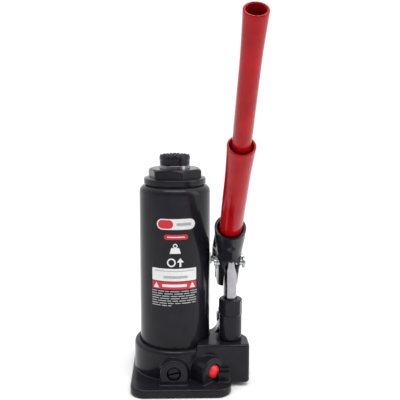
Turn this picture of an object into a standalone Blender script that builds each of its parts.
"""Hydraulic bottle jack of the 3 t class with its two-part pump handle.

Metres, +Z up. The ram axis is the Z axis, the ground is z = 0 and the release valve faces -Y.
The pump stands to the right (+X) and its handle swings in the YZ plane, forward and down.
"""

import math

import bmesh
import bpy
from mathutils import Matrix, Vector

MM = 0.001
GAP = 0.35 * MM

# Facets round circles, from the largest to the smallest
FINE, MEDIUM, SMALL, COARSE = 36, 24, 18, 14

# Base casting
PLATE_LEFT, PLATE_RIGHT, PLATE_HALF_DEPTH = -37.2 * MM, 46.4 * MM, 52 * MM
PLATE_THICKNESS, PLATE_CORNER = 7 * MM, 12.5 * MM
COLLAR_RADIUS, COLLAR_TOP = 35.5 * MM, 32 * MM
POCKET_FLOOR, SEAT_FLOOR = 22 * MM, 14 * MM
FRONT_BOSS_X, FRONT_BOSS_Z = -1.2 * MM, 16.4 * MM
FRONT_BOSS_RADIUS, FRONT_BOSS_FACE = 11.4 * MM, 43.5 * MM
SIDE_BOSS_ANGLE = math.radians(-48.8)
SIDE_BOSS_Z, SIDE_BOSS_RADIUS, SIDE_BOSS_FACE = 15.4 * MM, 12 * MM, 49.2 * MM
BOSS_FLOOR, EDGE_BREAK = 3 * MM, 0.8 * MM  # bosses start inside the plate
LUG_HALF_DEPTH, LUG_THICKNESS, LUG_SHOULDER = 11 * MM, 17.6 * MM, 28 * MM
STRAINER_X, STRAINER_Y = 21 * MM, 11.2 * MM
PASSAGE_LOW, PASSAGE_HIGH, PASSAGE_RADIUS = 6.5 * MM, 14 * MM, 1.5 * MM
VALVE_BORE_RADIUS, VALVE_SPINDLE_RADIUS = 3.9 * MM, 3.55 * MM

# Reservoir, ram cylinder and top nut
RESERVOIR_RADIUS, RESERVOIR_WALL = 30.4 * MM, 1.8 * MM
RESERVOIR_TOP, SHOULDER_RADIUS = 168.2 * MM, 6 * MM
CYLINDER_RADIUS, CYLINDER_BORE = 19 * MM, 15.5 * MM
NUT_BOTTOM, FLANGE_TOP, NUT_TOP = 169.2 * MM, 174 * MM, 182 * MM
FLANGE_RADIUS, NUT_CORNER_RADIUS, NUT_TURN = 26.6 * MM, 23.7 * MM, math.radians(45)
NUT_WIPER_RADIUS, NUT_WIPER_BOTTOM, NUT_WIPER_TOP = 16 * MM, 177.5 * MM, 180.5 * MM

# Ram and extension screw
RAM_RADIUS, RAM_BORE, RAM_TOP = 13 * MM, 10.4 * MM, 185 * MM
RAM_PISTON_RADIUS, RAM_STEM_RADIUS = 15.15 * MM, 8 * MM
SCREW_RADIUS, SCREW_BOTTOM = 9.9 * MM, 108 * MM
SADDLE_RADIUS, SADDLE_BOTTOM, SADDLE_TOP = 13.3 * MM, 185.4 * MM, 194 * MM
TOOTH_PITCH, TOOTH_DEPTH = 4.4 * MM, 2.4 * MM

# Pump, link and handle
PUMP_X, PUMP_Y = 47.5 * MM, -15.6 * MM
PUMP_BOSS_RADIUS, PUMP_BOSS_BOTTOM, PUMP_BOSS_TOP = 15.2 * MM, 2.7 * MM, 36 * MM
PUMP_FRONT, PUMP_BOSS_CORNER = -31.4 * MM, 4 * MM
PUMP_RADIUS, PUMP_COLLAR_RADIUS = 9.6 * MM, 10.7 * MM
PUMP_COLLAR_BOTTOM, PUMP_TOP = 58.5 * MM, 71.5 * MM
PUMP_WIPER_RADIUS, PUMP_WIPER_BOTTOM, PUMP_WIPER_TOP = 7.2 * MM, 67 * MM, 70 * MM
PUMP_BORE, PUMP_STEM_RADIUS, PUMP_STEM_BOTTOM = 6.6 * MM, 8 * MM, 21.8 * MM
PISTON_RADIUS, PISTON_PIN_Z = 5 * MM, 103 * MM
PISTON_HEAD_RADIUS, PISTON_GROOVE_RADIUS = 6.2 * MM, 4.6 * MM
FULCRUM_Y, FULCRUM_Z = 9.1 * MM, 100 * MM
LINK_FOOT_Y, LINK_FOOT_Z = 8.2 * MM, 47 * MM
LINK_THICKNESS, LINK_EYE_RADIUS = 8 * MM, 8.2 * MM
PISTON_PIN_RADIUS, FULCRUM_PIN_RADIUS, FOOT_PIN_RADIUS = 2.9 * MM, 3.2 * MM, 3 * MM
PISTON_PIN_LEFT, PISTON_PIN_RIGHT = 33 * MM, 60.2 * MM
FULCRUM_PIN_LEFT, FULCRUM_PIN_RIGHT = 30.75 * MM, 61.2 * MM
FOOT_PIN_LEFT, FOOT_PIN_RIGHT = 36.7 * MM, 58.7 * MM
COTTER_X, WASHER_X, CLIP_GROOVE, CLIP_THICKNESS = 34.4 * MM, 35.1 * MM, 0.9 * MM, 0.4 * MM
HANDLE_TILT = math.radians(41)
SOCKET_X, SOCKET_RIM_X = 46.1 * MM, 45.1 * MM
SOCKET_RIM, SOCKET_RADIUS, SOCKET_WALL = 48 * MM, 13 * MM, 2.5 * MM
LOWER_TUBE_RADIUS, UPPER_TUBE_RADIUS = 9.4 * MM, 6.85 * MM
TUBE_WALL, TUBE_FLARE = 1.7 * MM, 1 * MM
LOWER_TUBE_BOTTOM, LOWER_FLARE_START, LOWER_TUBE_TOP = 26 * MM, 106 * MM, 143.5 * MM
UPPER_TUBE_BOTTOM, UPPER_FLARE_START, UPPER_TUBE_TOP = 113 * MM, 214 * MM, 254.5 * MM

# Look of each class of part: colour, metallic, roughness
BLACK_ENAMEL = ((0.012, 0.012, 0.014), 0.0, 0.28)
RED_ENAMEL = ((0.55, 0.012, 0.018), 0.0, 0.25)
RED_PLASTIC = ((0.8, 0.02, 0.035), 0.0, 0.4)
STEEL = ((0.45, 0.45, 0.46), 1.0, 0.35)
CHROME = ((0.75, 0.75, 0.77), 1.0, 0.12)
RUBBER = ((0.02, 0.02, 0.02), 0.0, 0.7)
COPPER = ((0.72, 0.36, 0.2), 1.0, 0.35)
BRASS = ((0.65, 0.48, 0.2), 1.0, 0.35)

# The handle's own frame: along the socket, and across it towards its lower front side
HANDLE_UP = Vector((0, -math.sin(HANDLE_TILT), math.cos(HANDLE_TILT)))
HANDLE_FRONT = Vector((0, -math.cos(HANDLE_TILT), -math.sin(HANDLE_TILT)))
PISTON_PIN = Vector((PUMP_X, PUMP_Y, PISTON_PIN_Z))
PISTON_PIN_FRONT, PISTON_PIN_UP = 8.5 * MM, 9.4 * MM
SOCKET_BASE = PISTON_PIN - PISTON_PIN_FRONT * HANDLE_FRONT - PISTON_PIN_UP * HANDLE_UP
SIDE_BOSS_OUT = Vector((math.cos(SIDE_BOSS_ANGLE), math.sin(SIDE_BOSS_ANGLE), 0))
AT_PUMP = Matrix.Translation((PUMP_X, PUMP_Y, 0))


def clear_scene():
    for item in list(bpy.data.objects):
        bpy.data.objects.remove(item)


def new_collection(name):
    collection = bpy.data.collections.new(name)
    bpy.context.scene.collection.children.link(collection)
    return collection


clear_scene()
PARTS = new_collection("bottle_jack")
CUTTERS = new_collection("cutters")


# ---------------------------------------------------------------- helpers


def paint(obj, look):
    colour, metallic, roughness = look
    material = bpy.data.materials.new(obj.name)
    material.use_nodes = True
    shader = material.node_tree.nodes["Principled BSDF"]
    shader.inputs["Base Color"].default_value = (*colour, 1)
    shader.inputs["Metallic"].default_value = metallic
    shader.inputs["Roughness"].default_value = roughness
    obj.data.materials.clear()
    obj.data.materials.append(material)


def add(name, mesh, look, matrix=None):
    """Link the mesh as a part, or as a hidden cutter when it has no look."""
    obj = bpy.data.objects.new(name, mesh)
    obj.matrix_world = matrix or Matrix()
    if look is None:
        CUTTERS.objects.link(obj)
        obj.hide_render = True
        obj.display_type = "WIRE"
    else:
        PARTS.objects.link(obj)
        paint(obj, look)
    return obj


def frame(origin, along, side=None):
    """Matrix whose local Z runs along the given direction and whose local X is nearest to side."""
    z_axis = Vector(along).normalized()
    side = Vector(side) if side else Vector((1, 0, 0))
    if abs(z_axis.dot(side)) > 0.99:
        side = Vector((0, 1, 0))
    x_axis = (side - side.dot(z_axis) * z_axis).normalized()
    rotation = Matrix((x_axis, z_axis.cross(x_axis), z_axis)).transposed()
    return Matrix.Translation(origin) @ rotation.to_4x4()


def turned(name, outline, look, matrix=None, steps=MEDIUM):
    """Body of revolution. The outline's (radius, height) points run down the outer side."""
    mesh = bpy.data.meshes.new(name)
    count = len(outline)
    solid = outline[0][0] == 0
    edges = [(i, i + 1) for i in range(count - 1)]
    if not solid:
        edges.append((count - 1, 0))
    mesh.from_pydata([(radius, 0, height) for radius, height in outline], edges, [])
    obj = add(name, mesh, look, matrix)
    screw = obj.modifiers.new("turn", "SCREW")
    screw.steps = steps
    screw.render_steps = steps
    screw.use_merge_vertices = True
    screw.merge_threshold = 0.00001
    return obj


def ring(inner, outer, bottom, top):
    """Outline of a plain ring for turned()."""
    return [(outer, top), (outer, bottom), (inner, bottom), (inner, top)]


def cylinder(name, radius, start, end, look=None, segments=COARSE):
    start, end = Vector(start), Vector(end)
    cone = bmesh.new()
    depth = (end - start).length
    bmesh.ops.create_cone(
        cone, cap_ends=True, segments=segments, radius1=radius, radius2=radius, depth=depth
    )
    mesh = bpy.data.meshes.new(name)
    cone.to_mesh(mesh)
    cone.free()
    return add(name, mesh, look, frame((start + end) / 2, end - start))


def ball(name, radius, centre, look):
    sphere = bmesh.new()
    bmesh.ops.create_uvsphere(sphere, u_segments=10, v_segments=6, radius=radius)
    mesh = bpy.data.meshes.new(name)
    sphere.to_mesh(mesh)
    sphere.free()
    return add(name, mesh, look, Matrix.Translation(centre))


def box(name, size, centre, look=None, matrix=None):
    cube = bmesh.new()
    bmesh.ops.create_cube(cube, size=1)
    bmesh.ops.scale(cube, vec=size, verts=cube.verts)
    mesh = bpy.data.meshes.new(name)
    cube.to_mesh(mesh)
    cube.free()
    return add(name, mesh, look, (matrix or Matrix()) @ Matrix.Translation(centre))


def curve_to_mesh(name, curve, look, matrix):
    """Make a closed mesh object from curve data, with its caps welded on."""
    guide = bpy.data.objects.new(name, curve)
    PARTS.objects.link(guide)
    bpy.context.view_layer.update()
    depsgraph = bpy.context.evaluated_depsgraph_get()
    mesh = bpy.data.meshes.new_from_object(guide.evaluated_get(depsgraph))
    bpy.data.objects.remove(guide)
    bpy.data.curves.remove(curve)
    weld = bmesh.new()
    weld.from_mesh(mesh)
    bmesh.ops.remove_doubles(weld, verts=weld.verts, dist=0.000002)
    bmesh.ops.recalc_face_normals(weld, faces=weld.faces)
    weld.to_mesh(mesh)
    weld.free()
    return add(name, mesh, look, matrix)


def prism(name, outline, thickness, look=None, matrix=None):
    """Flat outline in local XY, extruded evenly to both sides of it."""
    curve = bpy.data.curves.new(name, "CURVE")
    curve.dimensions = "2D"
    curve.fill_mode = "BOTH"
    curve.extrude = thickness / 2
    spline = curve.splines.new("POLY")
    spline.points.add(len(outline) - 1)
    for point, (x, y) in zip(spline.points, outline):
        point.co = (x, y, 0, 1)
    spline.use_cyclic_u = True
    return curve_to_mesh(name, curve, look, matrix)


def wire(name, points, radius, look):
    """Round wire through the points."""
    curve = bpy.data.curves.new(name, "CURVE")
    curve.dimensions = "3D"
    curve.bevel_depth = radius
    curve.bevel_resolution = 0
    curve.use_fill_caps = True
    spline = curve.splines.new("POLY")
    spline.points.add(len(points) - 1)
    for point, place in zip(spline.points, points):
        point.co = (*place, 1)
    return curve_to_mesh(name, curve, look, None)


def arc(centre, radius, start, end, steps=8):
    """Points on an arc, angles in degrees."""
    angles = [math.radians(start + (end - start) * i / steps) for i in range(steps + 1)]
    return [
        (centre[0] + radius * math.cos(a), centre[1] + radius * math.sin(a)) for a in angles
    ]


def bevel(obj, width, segments=2, limit=30):
    modifier = obj.modifiers.new("edges", "BEVEL")
    modifier.width = width
    modifier.segments = segments
    modifier.limit_method = "ANGLE"
    modifier.angle_limit = math.radians(limit)


def combine(obj, others, operation="DIFFERENCE"):
    for other in others:
        modifier = obj.modifiers.new(other.name, "BOOLEAN")
        modifier.operation = operation
        modifier.object = other


def move_origin(obj, origin):
    """Put the object's origin on its joint without moving the shape."""
    shift = obj.matrix_world.inverted() @ Vector(origin)
    obj.data.transform(Matrix.Translation(-shift))
    obj.matrix_world = obj.matrix_world @ Matrix.Translation(shift)


def side_frame(x, y=0.0, z=0.0):
    """Local XY is the world YZ plane, seen from +X."""
    return Matrix.Translation((x, y, z)) @ Matrix(
        ((0, 0, 1, 0), (1, 0, 0, 0), (0, 1, 0, 0), (0, 0, 0, 1))
    )


def front_frame(y):
    """Local XY is the world XZ plane, local Z is -Y."""
    return Matrix.Translation((0, y, 0)) @ Matrix(
        ((1, 0, 0, 0), (0, 0, -1, 0), (0, 1, 0, 0), (0, 0, 0, 1))
    )


# ---------------------------------------------------------------- base casting


def arch_outline(x, z, radius, floor):
    """Upright sides with a half-round top: the shape of both valve bosses."""
    return [(x - radius, floor), (x + radius, floor)] + arc((x, z), radius, 0, 180, 9)


def side_boss_frame(reach):
    across = Vector((-SIDE_BOSS_OUT.y, SIDE_BOSS_OUT.x, 0))
    rotation = Matrix((across, Vector((0, 0, 1)), SIDE_BOSS_OUT)).transposed()
    return Matrix.Translation(SIDE_BOSS_OUT * reach) @ rotation.to_4x4()


def plate_outline():
    corner = PLATE_CORNER
    left, right = PLATE_LEFT + corner, PLATE_RIGHT - corner
    depth = PLATE_HALF_DEPTH - corner
    corners = ((right, depth, 0), (left, depth, 90), (left, -depth, 180), (right, -depth, 270))
    return [p for x, y, a in corners for p in arc((x, y), corner, a, a + 90, 4)]


def pump_boss_outline():
    """The block from inside the collar to round the pump, its front corner to the right rounded."""
    inside, back, corner = 18 * MM, -2.7 * MM, PUMP_BOSS_CORNER
    edge = PUMP_X + PUMP_BOSS_RADIUS
    return (
        [(inside, PUMP_FRONT)]
        + arc((edge - corner, PUMP_FRONT + corner), corner, -90, 0, 4)
        + arc((PUMP_X, PUMP_Y), PUMP_BOSS_RADIUS, 0, 120, 8)
        + [(inside, back)]
    )


def lug_outline():
    y, half = LINK_FOOT_Y, LUG_HALF_DEPTH
    return (
        [(y - half, BOSS_FLOOR), (y + half, BOSS_FLOOR), (y + half, LUG_SHOULDER)]
        + arc((y, LINK_FOOT_Z), LINK_EYE_RADIUS, 0, 180, 8)
        + [(y - half, LUG_SHOULDER)]
    )


def base_additions():
    """Solids that are joined to the plate."""
    collar = turned(
        "add_collar",
        [(0, COLLAR_TOP)]
        + shoulder(COLLAR_RADIUS, 3.2 * MM, COLLAR_TOP, 3)
        + [(COLLAR_RADIUS, BOSS_FLOOR), (0, BOSS_FLOOR)],
        None,
        steps=FINE,
    )
    depth = 23 * MM
    front_outline = arch_outline(FRONT_BOSS_X, FRONT_BOSS_Z, FRONT_BOSS_RADIUS, BOSS_FLOOR)
    middle = front_frame(depth / 2 - FRONT_BOSS_FACE)
    front_boss = prism("add_front_boss", front_outline, depth, None, middle)
    bevel(front_boss, EDGE_BREAK, 1, 50)
    depth = 27 * MM
    side_outline = arch_outline(0, SIDE_BOSS_Z, SIDE_BOSS_RADIUS, BOSS_FLOOR)
    middle = side_boss_frame(SIDE_BOSS_FACE - depth / 2)
    side_boss = prism("add_side_boss", side_outline, depth, None, middle)
    bevel(side_boss, EDGE_BREAK, 1, 50)
    height = PUMP_BOSS_TOP - PUMP_BOSS_BOTTOM
    middle = Matrix.Translation((0, 0, PUMP_BOSS_BOTTOM + height / 2))
    pump_boss = prism("add_pump_boss", pump_boss_outline(), height, None, middle)
    bevel(pump_boss, 1.4 * MM, 1, 50)
    lug = prism("add_lug", lug_outline(), LUG_THICKNESS, None, side_frame(PUMP_X))
    inner, outer, top = 24 * MM, 40 * MM, 42 * MM
    web_outline = [(inner, BOSS_FLOOR), (outer, BOSS_FLOOR), (outer, top)]
    web_outline += arc((27.5 * MM, top), 11 * MM, -8, -60, 3) + [(inner, 30 * MM)]
    web = prism("add_web", web_outline, 15 * MM, None, front_frame(LINK_FOOT_Y))
    pad = box("add_pad", (10 * MM, 26 * MM, 12 * MM), (40.4 * MM, -25.5 * MM, 9.1 * MM))
    bevel(pad, 1 * MM, 1)
    return [lug, web, collar, pump_boss, pad, front_boss, side_boss]


def oil_passages():
    """Drilled passages, from the suction hole to the pump well and on to the ram."""
    well = Vector((PUMP_X, PUMP_Y, 0))
    low, high = Vector((0, 0, PASSAGE_LOW)), Vector((0, 0, PASSAGE_HIGH))
    suction, radius = Vector((STRAINER_X, STRAINER_Y, 0)), PASSAGE_RADIUS
    above_pocket = Vector((0, 0, POCKET_FLOOR + 8 * MM))
    return [
        cylinder("cut_suction_drop", radius, suction + low, suction + above_pocket),
        cylinder("cut_suction_run", radius, suction + low, well + low),
        cylinder("cut_suction_rise", radius, well + low - Vector((0, 0, MM)), well + high),
        cylinder("cut_delivery", 1.4 * MM, well + high, Vector((0, 0, 9.2 * MM))),
        cylinder("cut_discharge_well", 2.9 * MM, (0, 0, 7 * MM), (0, 0, 20 * MM)),
    ]


def base_cutters():
    """Pockets, bores and drillings in the casting."""
    out, lift = SIDE_BOSS_OUT, Vector((0, 0, SIDE_BOSS_Z))
    valve = Vector((FRONT_BOSS_X, 0, FRONT_BOSS_Z))
    front = Vector((0, -1, 0))
    half_lug = 12 * MM
    pocket = turned(
        "cut_pocket",
        [(0, 60 * MM), (RESERVOIR_RADIUS + GAP, 60 * MM), (RESERVOIR_RADIUS + GAP, POCKET_FLOOR)]
        + [(0, POCKET_FLOOR)],
        None,
        steps=FINE,
    )
    seat = cylinder(
        "cut_seat",
        CYLINDER_RADIUS + GAP,
        (0, 0, SEAT_FLOOR),
        (0, 0, 40 * MM),
        segments=MEDIUM,
    )
    face = FRONT_BOSS_FACE + 2 * MM
    side_face = SIDE_BOSS_FACE + 2 * MM
    return [
        pocket,
        seat,
        cylinder(
            "cut_pump_stem",
            PUMP_STEM_RADIUS + GAP,
            (PUMP_X, PUMP_Y, 20.5 * MM),
            (PUMP_X, PUMP_Y, 50 * MM),
        ),
        cylinder("cut_pump_well", 4.2 * MM, (PUMP_X, PUMP_Y, 9 * MM), (PUMP_X, PUMP_Y, 30 * MM)),
        cylinder("cut_valve_head", 5.75 * MM, valve + front * 38.6 * MM, valve + front * face),
        cylinder("cut_valve_bore", VALVE_BORE_RADIUS, valve + front * 21.5 * MM, valve + front * face),
        cylinder("cut_valve_throat", 1.4 * MM, valve + front * 15 * MM, valve + front * 30 * MM),
        cylinder("cut_cap_seat", 6 * MM, lift + out * 46.6 * MM, lift + out * side_face),
        cylinder(
            "cut_overload_bore", VALVE_BORE_RADIUS, lift + out * 24 * MM, lift + out * side_face
        ),
        cylinder("cut_overload_throat", 1.2 * MM, lift + out * 15 * MM, lift + out * 30 * MM),
        cylinder(
            "cut_foot_pin",
            FOOT_PIN_RADIUS + GAP,
            (PUMP_X - half_lug, LINK_FOOT_Y, LINK_FOOT_Z),
            (PUMP_X + half_lug, LINK_FOOT_Y, LINK_FOOT_Z),
        ),
        box(
            "cut_fork",
            (LINK_THICKNESS + 2 * GAP, 30 * MM, 30 * MM),
            (PUMP_X, LINK_FOOT_Y, LINK_FOOT_Z + 4.5 * MM),
        ),
    ] + oil_passages()


def base_casting():
    height = Matrix.Translation((0, 0, PLATE_THICKNESS / 2))
    plate = prism("base_casting", plate_outline(), PLATE_THICKNESS, BLACK_ENAMEL, height)
    bevel(plate, 1.2 * MM, 1, 50)
    combine(plate, base_additions(), "UNION")
    combine(plate, base_cutters())


# ---------------------------------------------------------------- reservoir, cylinder and nut


def shoulder(radius, round_radius, top, steps=4):
    """Outline from the flat top, round the shoulder and onto the wall."""
    centre = (radius - round_radius, top - round_radius)
    return arc(centre, round_radius, 90, 0, steps)


def reservoir_tube():
    inside = RESERVOIR_RADIUS - RESERVOIR_WALL
    hole = 22 * MM
    bottom = POCKET_FLOOR + 1.3 * MM
    outline = (
        [(hole, RESERVOIR_TOP)]
        + shoulder(RESERVOIR_RADIUS, SHOULDER_RADIUS, RESERVOIR_TOP)
        + [(RESERVOIR_RADIUS, bottom), (inside, bottom)]
        + shoulder(inside, SHOULDER_RADIUS - RESERVOIR_WALL, RESERVOIR_TOP - RESERVOIR_WALL)[::-1]
        + [(hole, RESERVOIR_TOP - RESERVOIR_WALL)]
    )
    tube = turned("reservoir_tube", outline, BLACK_ENAMEL, steps=FINE)
    combine(tube, [cylinder("cut_filler", 4.6 * MM, filler_point(20 * MM), filler_point(40 * MM))])


def filler_point(reach):
    angle = math.radians(100)
    return Vector((reach * math.cos(angle), reach * math.sin(angle), 150 * MM))


def filler_plug():
    outline = [
        (0, 3.2 * MM),
        (4 * MM, 3 * MM),
        (6.4 * MM, 2.1 * MM),
        (7 * MM, 1 * MM),
        (6.8 * MM, 0),
        (4.25 * MM, 0),
        (4.25 * MM, -2.2 * MM),
        (0, -2.2 * MM),
    ]
    start = filler_point(RESERVOIR_RADIUS + GAP)
    outward = filler_point(40 * MM) - start
    turned("filler_plug", outline, RUBBER, frame(start, outward, (0, 0, 1)), COARSE)


def ram_cylinder():
    bottom = SEAT_FLOOR + 1.4 * MM
    turned("ram_cylinder", ring(CYLINDER_BORE, CYLINDER_RADIUS, bottom, 172 * MM), STEEL)


def hexagon(radius, turn=0.0):
    angles = [turn + math.pi / 3 * i for i in range(6)]
    return [(radius * math.cos(a), radius * math.sin(a)) for a in angles]


def top_nut():
    skirt, bore = 21.6 * MM, RAM_RADIUS + GAP
    flange = turned(
        "add_flange",
        [(0, FLANGE_TOP + 1 * MM), (20 * MM, FLANGE_TOP + 1 * MM), (20 * MM, FLANGE_TOP)]
        + shoulder(FLANGE_RADIUS, 1 * MM, FLANGE_TOP, 2)
        + [(FLANGE_RADIUS, NUT_BOTTOM), (skirt, NUT_BOTTOM), (skirt, 160 * MM), (0, 160 * MM)],
        None,
        steps=FINE,
    )
    chamfer = turned(
        "keep_chamfer",
        [
            (0, NUT_TOP),
            (20.6 * MM, NUT_TOP),
            (26 * MM, NUT_TOP - 3.1 * MM),
            (26 * MM, 150 * MM),
            (0, 150 * MM),
        ],
        None,
        steps=FINE,
    )
    bores = turned(
        "cut_nut_bore",
        [
            (0, 190 * MM),
            (bore, 190 * MM),
            (bore, NUT_WIPER_TOP),
            (NUT_WIPER_RADIUS, NUT_WIPER_TOP),
            (NUT_WIPER_RADIUS, NUT_WIPER_BOTTOM),
            (bore, NUT_WIPER_BOTTOM),
            (bore, 172.6 * MM),
            (CYLINDER_RADIUS + GAP, 172.6 * MM),
            (CYLINDER_RADIUS + GAP, 150 * MM),
            (0, 150 * MM),
        ],
        None,
    )
    depth = 12 * MM
    place = Matrix.Translation((0, 0, NUT_TOP - depth / 2))
    nut = prism("top_nut", hexagon(NUT_CORNER_RADIUS, NUT_TURN), depth, BLACK_ENAMEL, place)
    combine(nut, [chamfer], "INTERSECT")
    combine(nut, [flange], "UNION")
    combine(nut, [bores])


def seals():
    floor = POCKET_FLOOR + GAP
    outer = RESERVOIR_RADIUS - 0.1 * MM
    turned("reservoir_gasket", ring(27 * MM, outer, floor, floor + 0.6 * MM), RUBBER)
    seat = SEAT_FLOOR + GAP
    turned("cylinder_gasket", ring(15.8 * MM, 18.8 * MM, seat, seat + 0.7 * MM), COPPER)
    rest = RESERVOIR_TOP + 0.3 * MM
    turned("top_seal", ring(22.2 * MM, 25.4 * MM, rest, rest + 0.4 * MM), RUBBER)
    inner, outer = RAM_RADIUS + 0.3 * MM, NUT_WIPER_RADIUS - 0.3 * MM
    wiper = ring(inner, outer, NUT_WIPER_BOTTOM + 0.3 * MM, NUT_WIPER_TOP - 0.3 * MM)
    turned("ram_wiper", wiper, RUBBER)


# ---------------------------------------------------------------- ram and extension screw


def ram():
    rod = [
        (RAM_BORE, RAM_TOP),
        (RAM_RADIUS - 0.8 * MM, RAM_TOP),
        (RAM_RADIUS, RAM_TOP - 0.8 * MM),
        (RAM_RADIUS, 37 * MM),
        (RAM_PISTON_RADIUS, 37 * MM),
        (RAM_PISTON_RADIUS, 31 * MM),
        (RAM_STEM_RADIUS, 31 * MM),
        (RAM_STEM_RADIUS, 17 * MM),
        (4 * MM, 17 * MM),
        (4 * MM, 40 * MM),
        (RAM_BORE, 46 * MM),
    ]
    turned("ram_rod", rod, CHROME)
    cup = [
        (15.1 * MM, 23 * MM),
        (14.9 * MM, 22 * MM),
        (14 * MM, 22 * MM),
        (12.6 * MM, 26.5 * MM),
        (RAM_STEM_RADIUS + GAP, 26.5 * MM),
        (RAM_STEM_RADIUS + GAP, 30.6 * MM),
        (14.6 * MM, 30.6 * MM),
    ]
    turned("piston_cup", cup, RUBBER)
    retainer = [
        (11.5 * MM, 26.1 * MM),
        (12.6 * MM, 22.5 * MM),
        (12.6 * MM, 18 * MM),
        (RAM_STEM_RADIUS + GAP, 18 * MM),
        (RAM_STEM_RADIUS + GAP, 26.1 * MM),
    ]
    turned("cup_retainer", retainer, STEEL)


def tooth_cutter(name, turn, offset):
    """V groove across the saddle, its bottom TOOTH_DEPTH under the top."""
    half, above = 2.475 * MM, 1.2 * MM
    outline = [(-half, above), (0, -TOOTH_DEPTH), (half, above)]
    across = Matrix.Rotation(turn, 4, "Z") @ Matrix.Translation((offset, 0, SADDLE_TOP))
    upright = Matrix.Rotation(math.pi / 2, 4, "X")
    return prism(name, outline, 40 * MM, None, across @ upright)


def extension_screw():
    neck = SADDLE_RADIUS - 0.4 * MM
    groove_low, groove_high = SCREW_BOTTOM + 1.3 * MM, SCREW_BOTTOM + 4 * MM
    outline = [
        (0, SADDLE_TOP),
        (12 * MM, SADDLE_TOP),
        (13 * MM, SADDLE_TOP - 2.2 * MM),
        (SADDLE_RADIUS, SADDLE_TOP - 3.6 * MM),
        (neck, SADDLE_TOP - 5.2 * MM),
        (neck, SADDLE_BOTTOM),
        (SCREW_RADIUS, SADDLE_BOTTOM),
        (SCREW_RADIUS, groove_high),
        (7.9 * MM, groove_high),
        (7.9 * MM, groove_low),
        (SCREW_RADIUS, groove_low),
        (SCREW_RADIUS - 1 * MM, SCREW_BOTTOM),
        (0, SCREW_BOTTOM),
    ]
    screw = turned("extension_screw", outline, BLACK_ENAMEL)
    grooves = []
    for turn in (45, 135):
        for step in range(-3, 3):
            name = f"cut_tooth_{turn}_{step + 3}"
            grooves.append(tooth_cutter(name, math.radians(turn), (step + 0.5) * TOOTH_PITCH))
    combine(screw, grooves)
    stop_low, stop_high = SCREW_BOTTOM + 1.7 * MM, SCREW_BOTTOM + 3.6 * MM
    turned("screw_stop_ring", ring(8.25 * MM, 10.05 * MM, stop_low, stop_high), STEEL)


# ---------------------------------------------------------------- pump


def pump_cylinder():
    stem, shoulder_z = PUMP_STEM_RADIUS, PUMP_BOSS_TOP + GAP
    rounding = turned(
        "keep_pump_rounding",
        [
            (0, PUMP_TOP),
            (8.3 * MM, PUMP_TOP),
            (10.25 * MM, PUMP_TOP - 1.7 * MM),
            (10.25 * MM, PUMP_COLLAR_BOTTOM + 0.6 * MM),
            (PUMP_RADIUS, PUMP_COLLAR_BOTTOM),
            (PUMP_RADIUS, 50 * MM),
            (0, 50 * MM),
        ],
        None,
        AT_PUMP,
    )
    lower = turned(
        "add_pump_stem",
        [
            (0, PUMP_COLLAR_BOTTOM + 5 * MM),
            (9 * MM, PUMP_COLLAR_BOTTOM + 5 * MM),
            (PUMP_RADIUS, PUMP_COLLAR_BOTTOM + 1 * MM),
            (PUMP_RADIUS, shoulder_z),
            (stem, shoulder_z),
            (stem, PUMP_STEM_BOTTOM),
            (0, PUMP_STEM_BOTTOM),
        ],
        None,
        AT_PUMP,
    )
    guide = PISTON_RADIUS + GAP
    bore = turned(
        "cut_pump_bore",
        [
            (0, 90 * MM),
            (guide, 90 * MM),
            (guide, PUMP_WIPER_TOP),
            (PUMP_WIPER_RADIUS, PUMP_WIPER_TOP),
            (PUMP_WIPER_RADIUS, PUMP_WIPER_BOTTOM),
            (guide, PUMP_WIPER_BOTTOM),
            (guide, 61 * MM),
            (PUMP_BORE, 61 * MM),
            (PUMP_BORE, 10 * MM),
            (0, 10 * MM),
        ],
        None,
        AT_PUMP,
        SMALL,
    )
    depth = PUMP_TOP - 52 * MM
    place = Matrix.Translation((PUMP_X, PUMP_Y, PUMP_TOP - depth / 2))
    collar = hexagon(PUMP_COLLAR_RADIUS, math.radians(10))
    body = prism("pump_cylinder", collar, depth, BLACK_ENAMEL, place)
    combine(body, [rounding], "INTERSECT")
    combine(body, [lower], "UNION")
    combine(body, [bore])


def pump_fittings():
    inner, outer = PISTON_RADIUS + 0.3 * MM, PUMP_WIPER_RADIUS - 0.3 * MM
    wiper = ring(inner, outer, PUMP_WIPER_BOTTOM + 0.3 * MM, PUMP_WIPER_TOP - 0.3 * MM)
    turned("pump_wiper", wiper, RUBBER, AT_PUMP, SMALL)
    washer = ring(5 * MM, 7.9 * MM, 20.85 * MM, PUMP_STEM_BOTTOM - 0.3 * MM)
    turned("pump_cylinder_washer", washer, COPPER, AT_PUMP, SMALL)
    ball("suction_ball", 2.8 * MM, (PUMP_X, PUMP_Y, 12.2 * MM), STEEL)
    ball("discharge_ball", 2.2 * MM, (0, 0, 9.6 * MM), STEEL)
    strainer = [
        (0, 26 * MM),
        (2.4 * MM, 26 * MM),
        (3 * MM, 25.2 * MM),
        (3 * MM, POCKET_FLOOR + GAP),
        (1.6 * MM, POCKET_FLOOR + GAP),
        (1.6 * MM, 24.8 * MM),
        (0, 24.8 * MM),
    ]
    place = Matrix.Translation((STRAINER_X, STRAINER_Y, 0))
    turned("oil_strainer", strainer, BRASS, place, COARSE)


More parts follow.
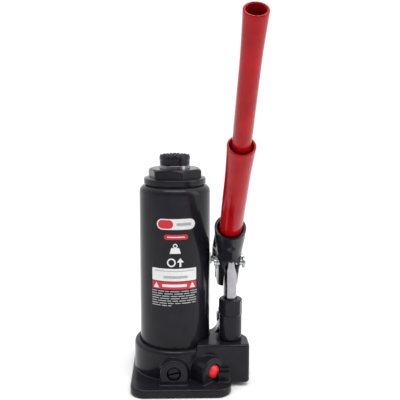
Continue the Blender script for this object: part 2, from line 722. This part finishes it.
def pump_piston():
    head, groove = PISTON_HEAD_RADIUS, PISTON_GROOVE_RADIUS
    outline = [
        (0, 96 * MM),
        (PISTON_RADIUS, 96 * MM),
        (PISTON_RADIUS, 50 * MM),
        (head, 50 * MM),
        (head, 48.2 * MM),
        (groove, 48.2 * MM),
        (groove, 45 * MM),
        (head, 45 * MM),
        (head, 43 * MM),
        (0, 43 * MM),
    ]
    piston = turned("pump_piston", outline, CHROME, AT_PUMP, SMALL)
    upright = turned(
        "keep_piston_round",
        [(0, 112 * MM), (PISTON_RADIUS, 112 * MM), (PISTON_RADIUS, 90 * MM), (0, 90 * MM)],
        None,
        AT_PUMP,
        SMALL,
    )
    half, below = 8 * MM, -12 * MM
    eye_outline = [(-half, below), (half, below), (half, 0)]
    eye_outline += arc((0, 0), PISTON_RADIUS, 0, 180, 8) + [(-half, 0)]
    eye_frame = side_frame(PUMP_X, PUMP_Y, PISTON_PIN_Z)
    eye = prism("keep_piston_eye", eye_outline, 2 * half, None, eye_frame)
    combine(upright, [eye], "INTERSECT")
    combine(piston, [upright], "UNION")
    across = Vector((15 * MM, 0, 0))
    hole = cylinder(
        "cut_piston_eye", PISTON_PIN_RADIUS + GAP, PISTON_PIN - across, PISTON_PIN + across
    )
    combine(piston, [hole])
    seal = ring(4.95 * MM, 6.3 * MM, 45.35 * MM, 47.85 * MM)
    turned("pump_piston_seal", seal, RUBBER, AT_PUMP, SMALL)


# ---------------------------------------------------------------- valves


def release_valve():
    """Spindle with its slotted head, seen in the front boss; local Z points out of the boss."""
    outline = [
        (0, 42 * MM),
        (4.4 * MM, 42 * MM),
        (5.2 * MM, 41.3 * MM),
        (5.2 * MM, 39 * MM),
        (VALVE_SPINDLE_RADIUS, 39 * MM),
        (VALVE_SPINDLE_RADIUS, 34 * MM),
        (2.6 * MM, 34 * MM),
        (2.6 * MM, 31.6 * MM),
        (VALVE_SPINDLE_RADIUS, 31.6 * MM),
        (VALVE_SPINDLE_RADIUS, 27.4 * MM),
        (1.6 * MM, 26.2 * MM),
        (0, 26.2 * MM),
    ]
    place = frame((FRONT_BOSS_X, 0, FRONT_BOSS_Z), (0, -1, 0))
    spindle = turned("release_valve", outline, STEEL, place, SMALL)
    turn = Matrix.Rotation(math.radians(12), 4, "Z")
    slot = box("cut_valve_slot", (14 * MM, 1.5 * MM, 4 * MM), (0, 0, 42 * MM), None, place @ turn)
    combine(spindle, [slot])
    seal = ring(2.9 * MM, 3.6 * MM, 32 * MM, 33.6 * MM)
    turned("release_valve_seal", seal, RUBBER, place, SMALL)
    centre = Vector((FRONT_BOSS_X, -23.9 * MM, FRONT_BOSS_Z))
    ball("release_ball", 2 * MM, centre, STEEL)


def coil(name, radius, wire_radius, start, end, turns, matrix):
    steps = 9 * turns
    points = []
    for step in range(steps + 1):
        angle = 2 * math.pi * turns * step / steps
        height = start + (end - start) * step / steps
        local = Vector((radius * math.cos(angle), radius * math.sin(angle), height))
        points.append(matrix @ local)
    return wire(name, points, wire_radius, STEEL)


def overload_valve():
    """Ball, spring, adjusting screw and tamper cap in the angled boss."""
    out, lift = SIDE_BOSS_OUT, Vector((0, 0, SIDE_BOSS_Z))
    place = frame(lift, out)
    ball("overload_ball", 2.2 * MM, lift + out * 26.7 * MM, STEEL)
    coil("overload_spring", 2.5 * MM, 0.45 * MM, 29.8 * MM, 37 * MM, 4, place)
    radius, top, bottom = VALVE_SPINDLE_RADIUS, 44.5 * MM, 38 * MM
    outline = [(0, top), (3.2 * MM, top), (radius, top - 0.5 * MM), (radius, bottom), (0, bottom)]
    screw = turned("overload_screw", outline, BRASS, place, SMALL)
    combine(screw, [box("cut_overload_slot", (9 * MM, MM, 3 * MM), (0, 0, 44.6 * MM), None, place)])
    cap = [
        (0, 51.2 * MM),
        (2.6 * MM, 50.9 * MM),
        (4.5 * MM, 50.1 * MM),
        (5.6 * MM, 48.8 * MM),
        (5.6 * MM, 47 * MM),
        (3.5 * MM, 47 * MM),
        (3.5 * MM, 45 * MM),
        (0, 45 * MM),
    ]
    turned("overload_cap", cap, RED_PLASTIC, place, SMALL)


# ---------------------------------------------------------------- link and pins


def link():
    """Bar between the base lug and the fulcrum pin. Its upper eye is a slot, long across the bar."""
    start = Vector((LINK_FOOT_Y, LINK_FOOT_Z))
    end = Vector((FULCRUM_Y, FULCRUM_Z))
    lean = math.degrees(math.atan2(start.x - end.x, end.y - start.y))
    waist = 6 * MM
    outline = arc(start, 6.8 * MM, 180 + lean + 20, 360 + lean - 20, 6)
    outline += [tuple(start + Vector((waist, 12 * MM))), tuple(end + Vector((waist, -13 * MM)))]
    outline += arc(end, LINK_EYE_RADIUS, lean - 20, lean + 200, 8)
    outline += [tuple(end + Vector((-waist, -13 * MM))), tuple(start + Vector((-waist, 12 * MM)))]
    bar = prism("link", outline, LINK_THICKNESS, BLACK_ENAMEL, side_frame(PUMP_X))
    half = LINK_THICKNESS
    foot = Vector((PUMP_X, LINK_FOOT_Y, LINK_FOOT_Z))
    across = Vector((half, 0, 0))
    hole = cylinder("cut_link_foot", FOOT_PIN_RADIUS + GAP, foot - across, foot + across)
    radius, play_front, play_back = FULCRUM_PIN_RADIUS + 0.9 * MM, 2.1 * MM, 1.6 * MM
    slot = arc((FULCRUM_Y + play_back, FULCRUM_Z), radius, -90, 90, 6)
    slot += arc((FULCRUM_Y - play_front, FULCRUM_Z), radius, 90, 270, 6)
    slot_cutter = prism("cut_link_slot", slot, 2 * half, None, side_frame(PUMP_X))
    combine(bar, [hole, slot_cutter])
    move_origin(bar, foot)


def headed_pin(name, radius, head_radius, head_length, left, right, centre, look):
    """Pin along X from its head's inner face at left to its other end at right."""
    length = abs(right - left)
    direction = Vector((1 if left > right else -1, 0, 0))
    outline = [
        (0, head_length),
        (head_radius - 0.5 * MM, head_length),
        (head_radius, head_length - 0.5 * MM),
        (head_radius, 0),
        (radius, 0),
        (radius, head_length - length + 0.5 * MM),
        (radius - 0.5 * MM, head_length - length),
        (0, head_length - length),
    ]
    start = Vector((left, centre[0], centre[1])) - direction * head_length
    return turned(name, outline, look, frame(start, direction, (0, 1, 0)), SMALL)


def cotter(name, x, centre, radius):
    """Split pin standing upright through the pin's end: bent top, ring below."""
    y, z = centre
    drop, loop, top = 11 * MM, 1.7 * MM, z + radius
    points = [(x - 2.2 * MM, y, top + 2.4 * MM), (x - 0.8 * MM, y, top + 2.3 * MM)]
    points += [(x, y, top + 1.4 * MM), (x, y, z), (x, y, z - drop + 2.6 * MM)]
    points += [(x, *point) for point in arc((y, z - drop), loop, 60, -240, 10)]
    return wire(name, points, 0.5 * MM, STEEL)


def pins():
    piston_centre = (PUMP_Y, PISTON_PIN_Z)
    left, right = PISTON_PIN_LEFT, PISTON_PIN_RIGHT
    pin = headed_pin(
        "piston_pin", PISTON_PIN_RADIUS, 4.9 * MM, 2.8 * MM, right, left, piston_centre, STEEL
    )
    cross = Vector((COTTER_X, PUMP_Y, PISTON_PIN_Z))
    rise = Vector((0, 0, 8 * MM))
    combine(pin, [cylinder("cut_cotter", 0.85 * MM, cross - rise, cross + rise, segments=8)])
    cotter("piston_pin_cotter", COTTER_X, piston_centre, PISTON_PIN_RADIUS)
    place = frame((WASHER_X, PUMP_Y, PISTON_PIN_Z), (1, 0, 0), (0, 1, 0))
    turned("piston_pin_washer", ring(3.25 * MM, 5.6 * MM, 0, 0.7 * MM), STEEL, place, SMALL)

    fulcrum_centre = (FULCRUM_Y, FULCRUM_Z)
    left, right = FULCRUM_PIN_LEFT, FULCRUM_PIN_RIGHT
    pin = headed_pin(
        "fulcrum_pin", FULCRUM_PIN_RADIUS, 5.4 * MM, 1.6 * MM, left, right, fulcrum_centre, STEEL
    )
    clip_x = right - 1.3 * MM
    combine(pin, [clip_groove("cut_fulcrum_groove", clip_x, fulcrum_centre, 2.5 * MM)])
    middle = clip_x + CLIP_GROOVE / 2
    circlip("fulcrum_pin_ring", middle, fulcrum_centre, 2.85 * MM, 4.7 * MM, CLIP_THICKNESS)

    foot_centre = (LINK_FOOT_Y, LINK_FOOT_Z)
    left, right = FOOT_PIN_LEFT, FOOT_PIN_RIGHT
    pin = headed_pin(
        "link_foot_pin", FOOT_PIN_RADIUS, 4.6 * MM, 1.6 * MM, left, right, foot_centre, STEEL
    )
    clip_x = right - 1.8 * MM
    combine(pin, [clip_groove("cut_foot_groove", clip_x, foot_centre, 2.3 * MM)])
    middle = clip_x + CLIP_GROOVE / 2
    circlip("link_foot_pin_ring", middle, foot_centre, 2.65 * MM, 4.3 * MM, CLIP_THICKNESS)


def clip_groove(name, x, centre, bottom_radius):
    """Cutter of the groove that a retaining ring sits in, running from x to the right."""
    place = frame((x, *centre), (1, 0, 0), (0, 1, 0))
    return turned(name, ring(bottom_radius, 9 * MM, 0, CLIP_GROOVE), None, place, SMALL)


def circlip(name, x, centre, inner, outer, thickness):
    """Open retaining ring around a pin along X, its gap at the top."""
    outline = arc(centre, outer, 125, 415, 10) + arc(centre, inner, 415, 125, 10)
    return prism(name, outline, thickness, STEEL, side_frame(x))


# ---------------------------------------------------------------- handle socket and tubes


def signed_power(value, power):
    return math.copysign(abs(value) ** power, value)


def socket_ring(up, front, back, half_front, half_back, squareness, inset):
    """One cross-section of the socket: narrow in front, wide behind, round at the rim.

    half_back holds the half widths behind, towards the reservoir and away from it.
    """
    cheeks_top = 16 * MM
    blend = min(max((up - cheeks_top) / (SOCKET_RIM - cheeks_top), 0), 1)
    centre_x = SOCKET_X + (SOCKET_RIM_X - SOCKET_X) * blend
    points = []
    count = 26
    for step in range(count):
        angle = 2 * math.pi * step / count
        cosine = signed_power(math.cos(angle), squareness)
        sine = signed_power(math.sin(angle), squareness)
        share = min(max((math.cos(angle) + 0.35) / 0.4, 0), 1)
        behind = half_back[0] if sine < 0 else half_back[1]
        half = behind + (half_front - behind) * share - inset
        reach = (front if cosine > 0 else back) - inset
        place = SOCKET_BASE + reach * cosine * HANDLE_FRONT + up * HANDLE_UP
        points.append(Vector((centre_x + half * sine, place.y, place.z)))
    return points


def socket_skin(name, sections, inset, look=None):
    """Loft through the cross-sections, closed at both ends."""
    shape = bmesh.new()
    rings = []
    for section in sections:
        rings.append([shape.verts.new(p) for p in socket_ring(*section, inset)])
    for lower, upper in zip(rings, rings[1:]):
        for i, vertex in enumerate(lower):
            j = (i + 1) % len(lower)
            shape.faces.new((vertex, lower[j], upper[j], upper[i]))
    shape.faces.new(rings[0][::-1])
    shape.faces.new(rings[-1])
    bmesh.ops.recalc_face_normals(shape, faces=shape.faces)
    mesh = bpy.data.meshes.new(name)
    shape.to_mesh(mesh)
    shape.free()
    return add(name, mesh, look)


def socket_sections(low, high):
    """(up, front, back, half width in front, half widths behind, squareness) of each section."""
    radius = SOCKET_RADIUS
    even = (radius, radius)
    flared, straight, foot = (14.2 * MM, 13.2 * MM), (13.4 * MM, 13.4 * MM), (10.2 * MM, 10.2 * MM)
    return [
        (high, radius, radius, radius, even, 1.0),
        (36 * MM, radius, radius, 12.4 * MM, even, 0.97),
        (24 * MM, 13.1 * MM, 13.2 * MM, 11.2 * MM, (13.8 * MM, 13.1 * MM), 0.9),
        (16 * MM, 13.8 * MM, 14 * MM, 10.3 * MM, flared, 0.75),
        (9 * MM, 17 * MM, 17 * MM, 9.8 * MM, flared, 0.6),
        (-9 * MM, 17 * MM, 19 * MM, 9.8 * MM, straight, 0.6),
        (low, 17 * MM, 19 * MM, 9.8 * MM, foot, 0.6),
    ]


def socket_side_outline():
    """Outline of the socket seen from the side, in (front, up) of the handle's frame."""
    pin = (PISTON_PIN_FRONT, PISTON_PIN_UP)
    fulcrum = Vector((0, FULCRUM_Y, FULCRUM_Z)) - SOCKET_BASE
    heel = (fulcrum.dot(HANDLE_FRONT), fulcrum.dot(HANDLE_UP))
    rim = SOCKET_RIM
    return (
        [(20 * MM, rim), (-20 * MM, rim), (-20 * MM, 18 * MM), (-16.6 * MM, 3 * MM)]
        + arc(heel, 8.6 * MM, 170, 262, 5)
        + [(6.5 * MM, -20.5 * MM), (11.5 * MM, -20.5 * MM), (16.2 * MM, -16 * MM)]
        + arc(pin, 7.9 * MM, -25, 45, 4)
        + [(13.7 * MM, 18 * MM), (20 * MM, 18.5 * MM)]
    )


def handle_frame(x):
    """Local X towards the handle's front, local Y up the handle, local Z along world X."""
    rotation = Matrix((HANDLE_FRONT, HANDLE_UP, Vector((-1, 0, 0)))).transposed()
    return Matrix.Translation((x, SOCKET_BASE.y, SOCKET_BASE.z)) @ rotation.to_4x4()


def arch_cutter(name, centre, half, top, depth):
    """Round-topped opening cut from front to back, for the piston and the link."""
    outline = [(-half, -40 * MM), (half, -40 * MM), (half, top - half)]
    outline += arc((0, top - half), half, 0, 180, 8)[1:]
    turn = Matrix((Vector((1, 0, 0)), HANDLE_UP, HANDLE_FRONT * -1)).transposed().to_4x4()
    place = Matrix.Translation(centre) @ turn
    return prism(name, outline, depth, None, place)


def handle_socket():
    outer = socket_sections(-26 * MM, SOCKET_RIM)
    inner = socket_sections(-34 * MM, SOCKET_RIM + 3 * MM)
    body = socket_skin("handle_socket", outer, 0, BLACK_ENAMEL)
    hollow = socket_skin("cut_socket_hollow", inner, SOCKET_WALL + 0.4 * MM)
    mouth_centre = Vector((SOCKET_RIM_X, SOCKET_BASE.y, SOCKET_BASE.z))
    mouth = cylinder(
        "cut_socket_mouth",
        SOCKET_RADIUS - SOCKET_WALL,
        mouth_centre + HANDLE_UP * 24 * MM,
        mouth_centre + HANDLE_UP * 60 * MM,
        segments=MEDIUM,
    )
    side = prism("keep_socket_side", socket_side_outline(), 40 * MM, None, handle_frame(SOCKET_X))
    front = HANDLE_FRONT * 22 * MM
    base = Vector((SOCKET_X, SOCKET_BASE.y, SOCKET_BASE.z))
    over_piston = Vector((PUMP_X, SOCKET_BASE.y, SOCKET_BASE.z)) + front
    half_width = PISTON_RADIUS + 0.5 * MM
    opening = arch_cutter("cut_socket_front", over_piston, half_width, 16.5 * MM, 34 * MM)
    rear = arch_cutter("cut_socket_rear", base - front, 7.5 * MM, 15 * MM, 30 * MM)
    reach = Vector((25 * MM, 0, 0))
    fulcrum = Vector((PUMP_X, FULCRUM_Y, FULCRUM_Z))
    pin_hole = cylinder(
        "cut_socket_pin", PISTON_PIN_RADIUS + GAP, PISTON_PIN - reach, PISTON_PIN + reach
    )
    fulcrum_hole = cylinder(
        "cut_socket_fulcrum", FULCRUM_PIN_RADIUS + GAP, fulcrum - reach, fulcrum + reach
    )
    combine(body, [side], "INTERSECT")
    combine(body, [hollow, mouth, opening, rear, pin_hole, fulcrum_hole])
    move_origin(body, PISTON_PIN)


def tube_frame(x_offset, lean):
    """Frame of a handle tube: local Z runs up the tube from beside the socket's base point."""
    side = math.tan(math.radians(lean))
    along = (HANDLE_UP + Vector((side, 0, 0))).normalized()
    origin = Vector((PUMP_X + x_offset, SOCKET_BASE.y, SOCKET_BASE.z))
    return frame(origin, along)


def flared_tube(name, radius, heights, place):
    """Tube whose mouth opens smoothly by TUBE_FLARE; heights are its foot, flare start and top."""
    bottom, flare_start, top = heights
    steps = 4
    outer, inner = [], []
    for step in range(steps + 1):
        share = step / steps
        height = flare_start + (top - flare_start) * share
        spread = TUBE_FLARE * share**1.5
        outer.append((radius + spread, height))
        inner.append((radius + spread - TUBE_WALL, height))
    outline = outer[::-1] + [(radius, bottom), (radius - TUBE_WALL, bottom)] + inner
    return turned(name, outline, RED_ENAMEL, place, SMALL)


def handle_tubes():
    place = tube_frame(-2.56 * MM, 0.75)
    bottom = LOWER_TUBE_BOTTOM
    heights = (bottom, LOWER_FLARE_START, LOWER_TUBE_TOP)
    lower = flared_tube("lower_handle", LOWER_TUBE_RADIUS, heights, place)
    notch = box("cut_valve_notch", (30 * MM, 2.2 * MM, 6 * MM), (0, 0, bottom), None, place)
    combine(lower, [notch])
    place = tube_frame(-0.44 * MM, -0.12)
    heights = (UPPER_TUBE_BOTTOM, UPPER_FLARE_START, UPPER_TUBE_TOP)
    flared_tube("upper_handle", UPPER_TUBE_RADIUS, heights, place)


def main():
    base_casting()
    reservoir_tube()
    filler_plug()
    ram_cylinder()
    top_nut()
    seals()
    ram()
    extension_screw()
    pump_cylinder()
    pump_fittings()
    pump_piston()
    release_valve()
    overload_valve()
    link()
    pins()
    handle_socket()
    handle_tubes()


main()
